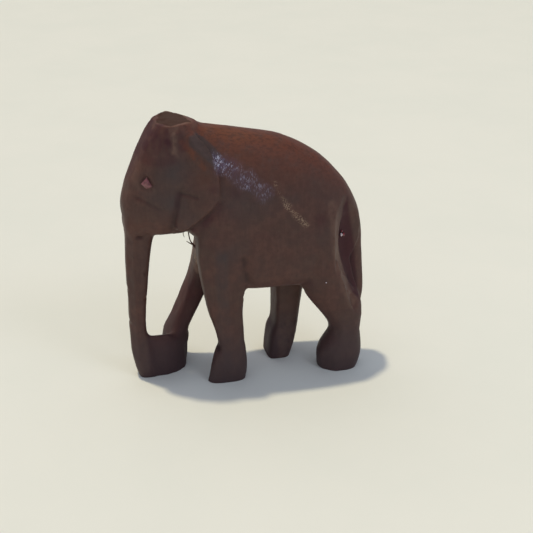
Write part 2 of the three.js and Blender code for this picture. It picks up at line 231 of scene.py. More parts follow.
# ----------------------------------------
# The skin: points, triangles and edges as whole arrays.
class Skin:
    """A closed surface that can be cut, scored and smoothed. Points are in millimetres."""

    def __init__(self, mesh):
        count = len(mesh.vertices)
        flat = np.empty(count * 3, np.float32)
        mesh.vertices.foreach_get("co", flat)
        self.points = flat.reshape(-1, 3).astype(float) / MM
        loops = np.empty(len(mesh.loops), np.int32)
        mesh.loops.foreach_get("vertex_index", loops)
        self.quads = loops.reshape(-1, 4)
        ends = np.empty(len(mesh.edges) * 2, np.int32)
        mesh.edges.foreach_get("vertices", ends)
        self.edges = ends.reshape(-1, 2)
        self.count = count

    def spread(self, index, values):
        """Sums of the values that belong to each point."""
        sums = [np.bincount(index, column, self.count) for column in values.T]
        return np.stack(sums, -1)

    def normals(self):
        """Each point's outward direction: the mean of its faces' diagonals' cross products."""
        corners = self.points[self.quads]
        faces = np.cross(corners[:, 2] - corners[:, 0], corners[:, 3] - corners[:, 1])
        total = sum(self.spread(self.quads[:, k], faces) for k in range(4))
        return total / np.maximum(np.linalg.norm(total, axis=1, keepdims=True), 1e-12)

    def around(self, values):
        """The mean of the values at each point's neighbours."""
        a, b = self.edges.T
        total = self.spread(a, values[b]) + self.spread(b, values[a])
        degree = np.bincount(self.edges.ravel(), minlength=self.count)
        return total / degree[:, None]

    def relax(self, rounds, amount=0.5, weight=None):
        """Each point moves part of the way to the mean of its neighbours, again and again. A
        weight for each point makes its moves smaller."""
        share = amount if weight is None else amount * weight[:, None]
        for _ in range(rounds):
            self.points += share * (self.around(self.points) - self.points)

    def soften(self, values, rounds):
        """A number at each point, blurred over the surface."""
        values = values[:, None]
        for _ in range(rounds):
            values = 0.5 * values + 0.5 * self.around(values)
        return values[:, 0]

    def bulge(self, rounds):
        """How far each point stands out of the mean of its surroundings, along its normal."""
        mean = self.points
        for _ in range(rounds):
            mean = self.around(mean)
        return np.sum((self.points - mean) * self.normals(), axis=1)


def ramp(value, low, high):
    """0 up to low, 1 from high on, and a smooth rise between."""
    t = np.clip((value - low) / (high - low), 0, 1)
    return t * t * (3 - 2 * t)


def lumps(points, size, seed):
    """Smooth random lumps about `size` across, from -1 to 1: random numbers at the corners of a
    cubic lattice, blended across each cell."""
    table = np.random.default_rng(seed).uniform(-1, 1, (32, 32, 32))
    place = points / size + 1000
    cell = np.floor(place).astype(int)
    f = place - cell
    f = f * f * (3 - 2 * f)
    total = np.zeros(len(points))
    for dx, dy, dz in np.ndindex(2, 2, 2):
        share = np.prod(np.where([dx, dy, dz], f, 1 - f), axis=1)
        total += share * table[tuple(((cell + [dx, dy, dz]) % 32).T)]
    return total


def unit(vector):
    return np.array(vector, float) / np.linalg.norm(vector)


def on(side):
    """What a point or direction on the right is multiplied by to put it on the given side."""
    return np.array([1, side, 1])


def shave(skin, normals, centre, facing, reach, depth=0.0, along=(0, 0, 1), stretch=1.0, most=1.0):
    """A knife cut: what stands above a plane is pared back to it, by `most` at the most. The
    plane faces `facing` and lies `depth` under the centre. The cut fades out between half its
    reach and its reach from the centre; along the knife's path both are `stretch` times as
    long."""
    facing = unit(facing)
    path = unit(np.array(along, float) - np.dot(along, facing) * facing + 1e-9)
    away = skin.points - centre
    height = away @ facing + depth
    run = away @ path
    aside = away - (away @ facing)[:, None] * facing - run[:, None] * path
    distance = np.sqrt(np.sum(aside ** 2, axis=1) + (run / stretch) ** 2)
    hold = (1 - ramp(distance, 0.5 * reach, reach)) * ramp(normals @ facing, 0.15, 0.45)
    hold *= 1 - ramp(height, most, 2 * most + 1)
    skin.points -= (np.clip(height, 0, most) * hold)[:, None] * facing


def to_line(flat, line):
    """Distance from flat points to an open line, and on which side of it they lie."""
    starts, ends = np.array(line[:-1], float), np.array(line[1:], float)
    step = ends - starts
    away = flat[:, None, :] - starts
    t = np.clip(np.sum(away * step, -1) / np.sum(step ** 2, -1), 0, 1)
    gap = away - t[..., None] * step
    distance = np.linalg.norm(gap, axis=-1)
    nearest = np.argmin(distance, axis=1)
    row = np.arange(len(flat))
    turn = step[nearest, 0] * away[row, nearest, 1] - step[nearest, 1] * away[row, nearest, 0]
    return distance[row, nearest], np.sign(turn)


def side_mask(skin, normals, side, out=0.25):
    """The part of the skin that faces the given side and lies on it."""
    return ramp(side * normals[:, 1], out, out + 0.25) * ramp(side * skin.points[:, 1], 2, 3)


def score(skin, side, line, width, depth, out=0.25):
    """A V-shaped cut along a line of x and z on one side, deepest on the line."""
    normals = skin.normals()
    distance, _ = to_line(skin.points[:, [0, 2]], line)
    cut = np.maximum(1 - distance / width, 0) * side_mask(skin, normals, side, out)
    skin.points -= (depth * cut)[:, None] * normals


def step_edge(skin, side, line, height, fade):
    """One side of a line stands above the other: the surface drops by `height` within the lip
    beside the line and comes back to itself over `fade`. The low side is on the line's right."""
    lip = 0.5
    normals = skin.normals()
    distance, turn = to_line(skin.points[:, [0, 2]], line)
    low = ramp(-distance * turn, -0.15, lip) * (1 - ramp(distance, lip, fade)) * (turn < 0)
    skin.points -= (height * low * side_mask(skin, normals, side))[:, None] * normals


# ----------------------------------------
# The body's forms and cuts.
def body_forms():
    square, oval = 3.6, 2.5
    ear = carved_form(LEFT_EAR, lean=-0.15)
    return [
        carved_form(TORSO, along="x", rings=140, sides=160, powers=(4.2, 2.4)),
        carved_form(HEAD, rings=110, sides=150, powers=(oval, oval)),
        carved_form(TRUNK, rings=110, sides=80, powers=(3.2, 3.2)),
        carved_form(LEFT_FRONT_LEG, powers=(square, square)),
        carved_form(RIGHT_FRONT_LEG, powers=(square, square)),
        carved_form(LEFT_HIND_LEG, powers=(2.2, 2.8)),
        carved_form(RIGHT_HIND_LEG, powers=(5.5, 3)),
        prism(TRUNK_WEB, UNDERGROUND),
        ear,
        mirrored(ear),
    ]


def rough_skin():
    """The forms fused, the recesses beside the tail cut out, and the tail put back between."""
    blank = one_skin("blank", body_forms(), ROUGH_PITCH)
    recess = carved_form(TAIL_RECESS, powers=(5, 5), lean=0.2)
    cutter = mesh_object("recess_cutter", [recess, mirrored(recess)])
    cut = blank.modifiers.new("cut", "BOOLEAN")
    cut.operation, cut.solver, cut.object = "DIFFERENCE", "EXACT", cutter
    hollowed = finished_mesh(blank)
    points = np.empty(len(hollowed.vertices) * 3, np.float32)
    hollowed.vertices.foreach_get("co", points)
    faces = [list(face.vertices) for face in hollowed.polygons]
    whole = one_skin("whole", [(points.reshape(-1, 3) / MM, faces), carved_form(TAIL)], SKIN_PITCH)
    skin = Skin(finished_mesh(whole))
    for thing in (blank, cutter, whole):
        bpy.data.objects.remove(thing)
    return skin


def knife_facets(skin, rng):
    """Many shallow flat cuts all over, long on the legs and trunk and broad on the flanks."""
    normals = skin.normals()
    for start in rng.choice(skin.count, FACET_COUNT, replace=False):
        centre, facing = skin.points[start], normals[start]
        x, y, z = centre
        limb = z < 46 or x < -29
        along = unit([0.06, 0, 1] if limb else [1, 0, 0.12])
        facing = unit(facing + rng.normal(0, 0.04, 3))
        reach = rng.uniform(2.4, 3.6) if limb else rng.uniform(3.5, 6)
        depth = rng.uniform(0.03, 0.12) if limb else rng.uniform(0.02, 0.07)
        shave(skin, normals, centre, facing, reach, depth, along, rng.uniform(1.5, 3), 1.3 * depth)


def shave_strip(skin, normals, side, ends, facing, reach, depth, most):
    """One long cut made of five overlapping ones between two ends."""
    first, last = (np.array([x, side * y, z]) for x, y, z in ends)
    turned = (facing[0], side * facing[1], facing[2])
    for t in np.linspace(0, 1, 5):
        centre = first + (last - first) * t
        shave(skin, normals, centre, turned, reach, depth, last - first, 1.5, most)


def carve_head(skin):
    """The flat crown, the slopes at two of its corners, and on each side the cuts of the
    forehead, the ear's top, the cheek and the jaw, in that order."""
    skin.points[:, 2] = np.minimum(skin.points[:, 2], CROWN_TOP)
    normals = skin.normals()
    shave(skin, normals, (-18.6, 3.6, 86.6), (0.4, 0.26, 0.88), 7, most=0.9)
    shave(skin, normals, (-26.6, 6.4, 86), (-0.66, 0.5, 0.56), 7, most=1.6)
    normals = skin.normals()
    up, leaning = (0, 0, 1), (-0.35, 0, 1)
    cuts = [
        ((-28.6, 7.7, 82.4), (-0.66, 0.7, 0.28), 8, 0.5, leaning, 1.2, 1.6),
        ((-20, 9.3, 82), (0.1, 0.9, 0.42), 7, 0.3, up, 1.2, 1),
        ((-29, 9.7, 71), (-0.18, 0.97, 0.12), 9, 0.3, up, 1.1, 0.8),
        ((-33.5, 7.8, 60), (-0.36, 0.93, -0.02), 8, 0.3, up, 1.5, 0.8),
    ]
    for side in (LEFT, RIGHT):
        for centre, facing, *rest in cuts:
            shave(skin, normals, centre * on(side), facing * on(side), *rest)


def carve_ears(skin):
    """The ear's front edge, standing above the cheek, the notch over it and the cut under its
    rear edge."""
    for side in (LEFT, RIGHT):
        front = [(-22, 66.4), (-22.6, 63.3), (-23.3, 60.1), (-24, 57), (-24.2, 54)]
        step_edge(skin, side, front, 0.45, 4.0)
        score(skin, side, [(-22.2, 66.4), (-19.9, 65.9), (-17.6, 65)], 0.8, 0.5)
        rear = [(-21.4, 52.6), (-17.6, 56.2), (-14, 59.4), (-11.2, 62.4)]
        score(skin, side, rear, 0.9, 0.45)


def carve_shoulder_band(skin):
    """The flat chisel cut behind the top of the ear, and the two scores along it."""
    normals = skin.normals()
    for side in (LEFT, RIGHT):
        ends = [(-18, 9.6, 82.3), (-11.3, 11.3, 74.2)]
        shave_strip(skin, normals, side, ends, (0.25, 0.76, 0.6), 3.2, 0.35, 0.7)
        score(skin, side, [(-19.6, 82.4), (-16.3, 77.6), (-13, 74.2), (-10.6, 71.9)], 0.6, 0.25, 0.1)
        score(skin, side, [(-11.2, 76.4), (-9.4, 74.9), (-7.6, 73.9)], 0.5, 0.3, 0.1)


def carve_thighs(skin):
    """The slope behind the ridge of each thigh, down into the hollow beside the tail."""
    normals = skin.normals()
    for side in (LEFT, RIGHT):
        ends = [(28.3, 9.9, 56), (28.2, 9.9, 38)]
        shave_strip(skin, normals, side, ends, (0.72, 0.69, 0.05), 5, 0.0, 1.5)
        ends = [(29.6, 10.2, 36), (33.6, 10.2, 24)]
        shave_strip(skin, normals, side, ends, (0.68, 0.7, 0.2), 4, 0.0, 1.2)


def carve_legs(skin):
    """Long flat cuts on the left: two down the front leg, one slanting across its toes, one
    down the trunk and one on the hind foot, in that order."""
    normals = skin.normals()
    cuts = [
        ([(-14.6, 12, 42), (-11.4, 12, 16)], (-0.5, 0.86, 0), 4.5, 0.35, 1),
        ([(-4, 12.4, 40), (-4, 12.2, 14)], (0.42, 0.9, 0), 4, 0.3, 1),
        ([(-12.6, 7, 9), (-15.2, 7.4, -1)], (-0.86, -0.5, 0.1), 8, 0, 6),
        ([(-37.6, 3.2, 46), (-37.8, 3.2, 8)], (-0.75, 0.66, 0), 4.5, 0.2, 1),
        ([(24.6, 13, 8), (24.2, 12.6, -1)], (-0.6, 0.8, 0.05), 5, 0.2, 1),
    ]
    for ends, facing, *rest in cuts:
        shave_strip(skin, normals, LEFT, ends, facing, *rest)


def blend_joint(skin, centre, reach, rounds):
    """Smooths a place where two forms meet into a hollow: the points within reach relax, less
    and less towards the edge."""
    distance = np.linalg.norm(skin.points - centre, axis=1)
    skin.relax(rounds, 0.7, 1 - ramp(distance, 0.5 * reach, reach))


def blend_joints(skin):
    """Where the web meets the right front leg, the nape, and the recesses' lower ends."""
    blend_joint(skin, (-22.4, 0.4, 15), 5, 40)
    for y in (-5.5, 0, 5.5):
        blend_joint(skin, (-15.6, y, 84.8), 5, 24)
    for side in (LEFT, RIGHT):
        blend_joint(skin, (36.4, side * 8, 23), 5.5, 40)


def carve_face_lines(skin):
    """The cheek's line, the empty slot of the tusk and the rim of the eye."""
    for side in (LEFT, RIGHT):
        score(skin, side, [(-35.2, 65.1), (-33, 64.2), (-30.2, 62.5), (-27.4, 60.7)], 0.8, 0.42)
        score(skin, side, [(-35.6, 50.9), (-34, 50.8)], 0.6, 0.9)
        score(skin, side, EYE_RIM, 0.8, 0.42)


def nick(skin, centre, across, size, depth):
    """A small V-shaped nick where a knife ran past: a wedge around a short line."""
    away = skin.points - np.array(centre, float)
    along = away @ unit(across)
    rest = away - along[:, None] * unit(across)
    hold = np.maximum(1 - np.linalg.norm(rest, axis=1) / size, 0) * (np.abs(along) < 4 * size)
    skin.points -= (depth * hold)[:, None] * skin.normals()


def carve_nicks(skin):
    """Nicks across the edges of the trunk and legs, and the deeper notch of the front ankle."""
    small = [
        (-39.6, -1, 32), (-12, -8, 11.4), (-12, -11, 11), (-3, -9, 29.5), (25.4, -8, 14.2),
        (-39.2, 0, 20), (17.2, -9, 28), (36.6, -8, 13.2), (-19.4, 6, 13), (-33.4, -3, 38),
        (-33.9, -3, 29), (16.3, 3, 13), (-20, 6, 16),
    ]
    for centre in small:
        nick(skin, centre, (0, 1, 0), 0.9, 0.55)
    nick(skin, (-12.3, -8.5, 11.9), (0, 1, 0), 1.3, 0.8)


def carved_skin():
    """The rough skin with every cut made, and low lumps of two sizes all over."""
    skin = rough_skin()
    skin.relax(2)
    carve_head(skin)
    carve_thighs(skin)
    carve_legs(skin)
    blend_joints(skin)
    knife_facets(skin, np.random.default_rng(11))
    carve_shoulder_band(skin)
    carve_ears(skin)
    carve_face_lines(skin)
    carve_nicks(skin)
    rise = 0.06 * lumps(skin.points, 4.5, 3) + 0.025 * lumps(skin.points, 1.4, 4)
    skin.points += rise[:, None] * skin.normals()
    skin.relax(1, 0.35)
    return skin


def cut_flat(mesh):
    """Takes away what lies under the ground and closes the feet with flat faces."""
    work = bmesh.new()
    work.from_mesh(mesh)
    everything = [*work.verts, *work.edges, *work.faces]
    plane = {"plane_co": (0, 0, 0), "plane_no": (0, 0, 1)}
    cut = bmesh.ops.bisect_plane(work, geom=everything, dist=1e-7, clear_inner=True, **plane)
    ground = cut["geom_cut"]
    rim = [part for part in ground if isinstance(part, bmesh.types.BMEdge) and part.is_boundary]
    soles = bmesh.ops.holes_fill(work, edges=rim, sides=0)["faces"]
    bmesh.ops.triangulate(work, faces=soles)
    work.to_mesh(mesh)
    work.free()


def point_attribute(mesh, name, values):
    layer = mesh.attributes.new(name, "FLOAT", "POINT")
    layer.data.foreach_set("value", np.clip(values, 0, 1).astype(np.float32))


def near_line(points, line, inner, outer, wobble=0.0, size=2.0, seed=1):
    """1 within `inner` of a line of x and z, 0 beyond `outer`; lumps make the edge uneven."""
    distance, _ = to_line(points[:, [0, 2]], line)
    return 1 - ramp(distance + wobble * lumps(points, size, seed), inner, outer)


def inside(points, outline, edge, wobble=0.0, seed=1, plane=FROM_THE_SIDE, grown=0.0):
    """1 inside a convex outline drawn clockwise on a plane of two axes, 0 outside, fading over
    `edge`. The outline can be grown outwards, and lumps make its edge uneven."""
    flat = points[:, plane]
    depth = np.full(len(points), np.inf)
    corners = np.array(outline, float)
    for start, end in zip(corners, np.roll(corners, -1, axis=0)):
        inward = np.array([end[1] - start[1], start[0] - end[0]]) / np.linalg.norm(end - start)
        depth = np.minimum(depth, (flat - start) @ inward)
    return ramp(depth + grown + wobble * lumps(points, 1.6, seed), 0, edge)


def blots(points, spots):
    """A sum of soft round stains: x, z, radius, amount."""
    x, z, radius, amount = np.array(spots, float).T
    gap = (points[:, 0, None] - x) ** 2 + (points[:, 2, None] - z) ** 2
    return np.sum(amount * np.exp(-gap / radius ** 2), axis=1)


def patches(points, size, seed, level, swing):
    """An uneven strength: lumps of the given size that swing about a level."""
    return level + swing * lumps(points, size, seed)


def crazing_and_glare_reach(points):
    """Where the varnish has crazed and a window's glare is painted on it: a band from behind the ear
    down along the flank, with stronger cores and a dark crack along it. The right side has about a
    third of it."""
    x, y, z = points.T
    band = near_line(points, [(-10.4, 74.6), (-4.3, 70.6), (3.6, 64.8)], 1.7, 3.9, 1, 2.4, 8)
    fade = 1 - 0.35 * ramp(x, -8, -2)
    fade *= np.where(y < 0, 1, 0.35)
    cores = blots(points, [
        (-10.6, 75.6, 1.5, .6), (-8.6, 74.2, 1.5, .6), (-5.6, 72.4, 1.4, .5), (-3.2, 69.4, 1.4, .55),
        (-1.6, 67.4, 1.3, .45), (1.6, 66.6, 1.3, .3), (-10.6, 73.2, 1.2, .3),
    ])
    strength = 0.6 * patches(points, 2.2, 21, 0.75, 0.35) + 1.1 * cores
    crack_line = [(-9.3, 77), (-7.2, 75), (-5, 72.8), (-2.6, 71)]
    crack = near_line(points, crack_line, 0.0, 0.5, 0.3, 1, 27)
    return band * fade * strength * ramp(x, -12.8, -11.8) * (1 - 0.7 * crack)


def glint_reach(points):
    """Painted highlights: the thin glinting line that runs on from the crazed band to the hip, the
    dots where it starts, and the lit pale strip down the chest between the front legs."""
    x, y, z = points.T
    dots = near_line(points, [(6.6, 67.6), (8.2, 63.4), (11, 60)], 0.0, 0.9, 0.4, 1.2, 9)
    line = near_line(points, [(9.6, 60.6), (12.4, 57.2), (16.6, 53.2)], 0.1, 1.2, 0.5, 1.6, 9)
    side = np.where(y < 0, 1, 0.5)
    chest = near_line(points, [(-16.9, 47), (-16.2, 42), (-15.8, 37.6)], 0.3, 1.1, 0.4)
    chest *= np.abs(y - 2) < 4
    reach = np.maximum(0.6 * dots, line) * side + 0.9 * chest
    return reach * patches(points, 1.5, 22, 0.7, 0.4)


def crown_cap(points):
    """The crown's flat facet, as seen from above."""
    return inside(points, CROWN_FACET, 0.6, 0.5, 25, FROM_ABOVE, 0.5)


def worn_and_lit_edges(points, normals):
    """Pale edges, partly stain worn thin and partly painted highlight where light catches: the
    crown's rim, the ridge under it, the brow and the thigh on the sides, the chest's corner, and the
    right hind leg's front."""
    x, y, z = points.T
    rim = inside(points, CROWN_FACET, 0.8, 0.5, 24, FROM_ABOVE, 1.9) - crown_cap(points)
    rim = 0.5 * np.maximum(rim, 0) * ramp(z, 84.4, 85.4) * patches(points, 1.5, 26, 0.8, 0.4)
    ridge_line = [(-23.9, 85.9), (-23.4, 83.4), (-23.4, 81), (-23.7, 78.7), (-23, 77.6)]
    ridge = near_line(points, ridge_line, 0.2, 1.1, 0.4)
    ridge *= (0.55 + 0.5 * ramp(z, 80, 85)) * patches(points, 1.1, 23, 0.6, 0.9)
    brow_line = [(-34.8, 75.5), (-35.9, 71.2), (-34, 67.9), (-30.7, 67.6)]
    brow = near_line(points, brow_line, 0.3, 1.8, 0.5)
    thigh_line = [
        (25.2, 58.6), (25.9, 51.7), (26.4, 43), (28.2, 35.7), (30.6, 28.2), (32.6, 24),
    ]
    thigh = near_line(points, thigh_line, 0.6, 2.4, 0.3)
    chest_line = [(-17, 48.5), (-16.2, 42), (-16, 37), (-15.4, 34.6)]
    chest = near_line(points, chest_line, 0.7, 1.7, 0.4) * (y > -0.5)
    shank = near_line(points, [(21.2, 28), (20.2, 21), (19.2, 12), (18, 4)], 0.4, 1.6, 0.3)
    shank *= y > -1
    shin = 0.32 * ramp(x, 9.5, 11.5) * (x < 22) * (y > -1.5) * (1 - ramp(z, 28, 34))
    shin *= patches(points, 2, 28, 1, 0.5)
    on_sides = np.maximum.reduce([ridge, 0.3 * brow, 0.55 * thigh])
    on_sides *= np.abs(normals[:, 1]) > 0.35
    return np.maximum.reduce([rim, on_sides, 1.1 * chest, 0.55 * shank, shin])


def purple_shade_on_head(points):
    """Purple painted shade on the head: the forehead's sides and the brow under them, which face
    away from the light, the eye socket's rim, the temple, the far side of the face and the cuts
    round the ear."""
    x, y, z = points.T
    facet = [(-36, 79.4), (-34, 89), (-24.4, 87), (-24.4, 78.2), (-28.7, 78.2)]
    forehead = inside(points, facet, 1.4, 1, 41) * patches(points, 1.5, 42, 0.75, 0.6)
    brow = 0.4 * near_line(points, [(-33.5, 78), (-29.4, 76.8), (-24.6, 77)], 0.6, 2.4, 0.8)
    socket = near_line(points, EYE_RIM, 0.1, 0.6)
    temple = near_line(points, [(-21.5, 84.2), (-20.8, 79.9)], 0.5, 1.8, 0.6)
    far_side = 0.7 * (x < -27) * ramp(y, -4, 0) * (1 - ramp(y, 5, 8)) * ramp(z, 66, 72)
    front_line = [(-23, 66), (-23.6, 62), (-24.6, 57), (-24.8, 54)]
    ear_front = near_line(points, front_line, 0.3, 1.5)
    back_line = [(-21, 51.6), (-17.2, 54.8), (-13.2, 58.2), (-10.8, 62)]
    ear_back = near_line(points, back_line, 0.4, 2, 0.5, 1.4)
    ear = np.maximum(0.45 * ear_front, 0.7 * ear_back) * patches(points, 1.7, 43, 0.8, 0.6)
    head = 1.15 * forehead + brow + far_side * (1 - forehead)
    return head + 0.45 * (socket + temple) * (np.abs(y) > 6) + ear * (np.abs(y) > 8)


def purple_shade_on_legs(points):
    """Purple painted shade low down: the web at the tip of the trunk, which lies in the head's
    shadow, the right front leg above it, and the back of the right hind leg."""
    x, y, z = points.T
    web = ramp(x, -34, -33.4) * (x < -18) * (1 - ramp(z, 19, 25))
    shin = 0.6 * (y > 1.2) * (x < -6) * ramp(x, -29, -27)
    shin *= ramp(z, 14, 18) * (1 - ramp(z, 26, 36))
    hind = 0.5 * (y > -1.5) * (x > 5) * (x < 22) * (1 - ramp(z, 24, 32)) * (1 - ramp(x, 9.5, 12))
    return np.maximum(0.72 * web, shin) + hind


def purple_shade_mask(points):
    """Purple painted shade: parts of the head and legs, the hollows beside the tail and four spots
    on the flanks."""
    x, y, z = points.T
    front = np.interp(z, HOLLOW_HEIGHTS, HOLLOW_FRONT)
    back = np.interp(z, HOLLOW_HEIGHTS, HOLLOW_BACK)
    hollow = ramp(x - front, 0, 1.2) * (1 - ramp(x - back, -0.6, 0.8))
    hollow *= (1 - ramp(np.abs(y), 9, 10.4)) * ramp(z, 20, 26)
    spots = [
        (20.6, 54.6, 2.4, .45), (17.8, 32.4, 1.5, .4), (-12.6, 67.4, 1.6, .4), (-5.6, 65.4, 2, .35),
    ]
    flank = blots(points, spots) * (np.abs(y) > 6)
    return purple_shade_on_head(points) + purple_shade_on_legs(points) + 0.95 * hollow + flank


def grey_stain_and_painted_light(points):
    """Where the stain is thin and greyish: the temple, the cheek and spots on the flank and haunch.
    The chisel cut behind the ear carries a painted bluish reflection of the sky, and the strip down
    the front leg's middle is painted shade on its darker facet."""
    spots = [
        (-24.5, 73.5, 5, .9), (-25, 63, 4, .9), (-5, 63, 6, .7), (4, 60, 4, .4), (-31, 66, 3, .4),
        (-20, 57, 3, .4), (-8, 46, 4, .4), (22, 50, 5, .3), (30, 12, 5, .4), (21, 65, 6, .35),
        (27, 60, 4, .35), (12, 62, 3, .3),
    ]
    # painted shade on the front leg's darker facet
    strip_line = [(-10.8, 46), (-10.5, 30), (-9.8, 14), (-9.4, 0)]
    strip = near_line(points, strip_line, 1.1, 2.8, 0.4, 5, 31) * patches(points, 3.2, 32, 0.75, 0.6)
    # painted reflection of the sky on the flat chisel cut
    chisel = [
        (-19.4, 80.8), (-19.2, 83.8), (-15.7, 84), (-10.6, 79), (-8.6, 76.4), (-12.3, 73.9),
    ]
    stain = blots(points, spots) + 0.5 * strip + 1.1 * inside(points, chisel, 0.7)
    return stain * (np.abs(points[:, 1]) > 5)


def rust_stain(points):
    """Where the wood shows warm: the nape, the top of the back, and the line along the upper
    edge of the chisel cut behind the ear."""
    spots = [
        (-12, 84, 5, .9), (-4, 81, 6, .8), (6, 79, 7, .55), (16, 74, 6, .38), (-18.8, 79, 2.2, .5),
        (24, 68, 5, .25), (-15.5, 71, 3, .3), (-36, 56, 4, .2),
    ]
    cut_line = [(-21.3, 82.1), (-19.9, 79.8), (-17.6, 77.1), (-14.7, 73.7)]
    cut_edge = near_line(points, cut_line, 0.2, 1.2, 0.4) * (np.abs(points[:, 1]) > 5)
    return blots(points, spots) + 0.65 * cut_edge


def body_piece():
    """The carved body, with a number at each point for every layer of its finish, painted shade and
    painted highlights.
    """
    skin = carved_skin()
    points, normals = skin.points, skin.normals()
    mesh = bpy.data.meshes.new("carved_elephant")
    mesh.from_pydata(points * MM, [], skin.quads.tolist())
    standing = 0.12 * ramp(skin.bulge(6), 0.06, 0.25)
    layers = {
        # worn edges and painted highlights
        "wear_and_highlight": np.maximum(standing, worn_and_lit_edges(points, normals)),
        # painted shade, darkest in creases and hollows
        "crease_shade": skin.soften(ramp(-skin.bulge(10), 0.05, 0.3), 3),
        "cap": crown_cap(points) * ramp(points[:, 2], 85, 86),
        "crazing_and_glare": crazing_and_glare_reach(points),
        "glint": glint_reach(points),
        # purple painted shade
        "purple_shade": purple_shade_mask(points),
        "grey": grey_stain_and_painted_light(points),
        "rust": rust_stain(points),
    }
    for name, values in layers.items():
        point_attribute(mesh, name, values)
    cut_flat(mesh)
    mesh.shade_smooth()
    mesh.set_sharp_from_angle(angle=math.radians(60))
    made = bpy.data.objects.new("carved_elephant", mesh)
    bpy.context.scene.collection.objects.link(made)
    return made


# ----------------------------------------
# Finishes.
class Value:
    """A shader number. Arithmetic on it adds Math nodes."""

    def __init__(self, finish, socket):
        self.finish, self.socket = finish, socket

    def _math(self, operation, *values):
        inputs = dict(enumerate(values))
        return self.finish.node("ShaderNodeMath", {"operation": operation}, inputs)

    def __add__(self, other):
        return self._math("ADD", self, other)

    def __mul__(self, other):
        return self._math("MULTIPLY", self, other)

    def __rsub__(self, other):
        return self._math("SUBTRACT", other, self)

    def __pow__(self, other):
        return self._math("POWER", self, other)

    __radd__, __rmul__ = __add__, __mul__

    def between(self, low, high):
        """0 below low, 1 above high, smooth between."""
        values = {"Value": self, "From Min": low, "From Max": high}
        return self.finish.node("ShaderNodeMapRange", {"interpolation_type": "SMOOTHSTEP"}, values)


class Finish:
    """A material built from nodes."""

    def __init__(self, name):
        self.material = bpy.data.materials.new(name)
        self.material.use_nodes = True
        self.tree = self.material.node_tree
        self.tree.nodes.clear()

    def node(self, kind, settings=None, values=None, output=0):
        """Adds a node: settings first, then the values or links of its sockets, which are
        known by name or number. Gives back one of its outputs, if it has any."""
        made = self.tree.nodes.new(kind)
        for name, value in (settings or {}).items():
            setattr(made, name, value)
        for name, value in (values or {}).items():
            if isinstance(value, Value):
                self.tree.links.new(value.socket, made.inputs[name])
            else:
                made.inputs[name].default_value = value
        return Value(self, made.outputs[output]) if made.outputs else None

    def place(self, squeeze=(1, 1, 1)):
        """Object coordinates in millimetres. A squeeze below 1 draws a pattern out that way."""
        where = self.node("ShaderNodeTexCoord", output="Object")
        scale = tuple(s / MM for s in squeeze)
        return self.node("ShaderNodeMapping", {}, {"Vector": where, "Scale": scale})

    def noise(self, size, detail, squeeze=(1, 1, 1), roughness=0.5):
        """Noise with lumps about `size` millimetres across."""
        where = self.place(squeeze)
        values = {"Vector": where, "Scale": 1 / size, "Detail": detail, "Roughness": roughness}
        return self.node("ShaderNodeTexNoise", {}, values)

    def attribute(self, name):
        return self.node("ShaderNodeAttribute", {"attribute_name": name}, output="Fac")

    def blend(self, factor, first, second):
        """A colour between two colours. The colour sockets of a Mix node are its 7th and 8th,
        and its colour output is the 3rd."""
        return self.node("ShaderNodeMix", {"data_type": "RGBA"}, {0: factor, 6: first, 7: second}, 2)

    def upward(self):
        """How far the surface faces up: the z part of its normal."""
        normal = self.node("ShaderNodeNewGeometry", output="Normal")
        return self.node("ShaderNodeSeparateXYZ", {}, {"Vector": normal}, "Z")

    def height(self):
        """Height above the ground in millimetres."""
        return self.node("ShaderNodeSeparateXYZ", {}, {"Vector": self.place()}, "Z")

    def bump(self, height, strength, distance):
        """A raised surface: what counts as a height of 1 stands `distance` millimetres up."""
        values = {"Height": height, "Strength": strength, "Distance": distance * MM}
        return self.node("ShaderNodeBump", {}, values)

    def surface(self, **values):
        """Ends the material in a Principled shader, whose sockets are given by name."""
        sockets = {name.replace("_", " "): value for name, value in values.items()}
        shader = self.node("ShaderNodeBsdfPrincipled", {}, sockets)
        self.node("ShaderNodeOutputMaterial", {}, {"Surface": shader})
        return self.material


def rgb(red, green, blue):
    """A screen colour, 0 to 255, as linear light."""
    part = np.array([red, green, blue]) / 255
    linear = np.where(part <= 0.04045, part / 12.92, ((part + 0.055) / 1.055) ** 2.4)
    return (*linear.tolist(), 1.0)


STAIN_AND_PAINTED_LIGHT = {name: rgb(*colour) for name, colour in {
    "brown": (81, 55, 49),
    "light_brown": (90, 59, 52),
    "dark_patch": (64, 39, 37),
    "red_back": (96, 46, 34),
    "rust": (110, 58, 36),
    "pore": (62, 30, 23),
    # thin grey stain, also used for painted shade and painted reflection
    "grey": (64, 54, 56),
    # purple painted shade
    "purple_shade": (65, 31, 40),
    "grain": (58, 36, 30),
    # painted shade, darker towards the ground
    "shade_near_ground": (66, 51, 55),
    "fleck": (44, 26, 24),
    "sawn_cap": (56, 30, 18),
    # painted shade for creases and hollows
    "hollow": (40, 21, 22),
    # worn bare edges, and painted highlights on lit rims and bevels
    "bare_edge_and_highlight": (132, 102, 88),
    # painted sheen and painted glare on the crazed varnish
    "painted_sheen_haze": (88, 69, 96),
    "painted_glare_streak": (196, 196, 222),
    # painted glint
    "painted_glint": (172, 144, 122),
}.items()}


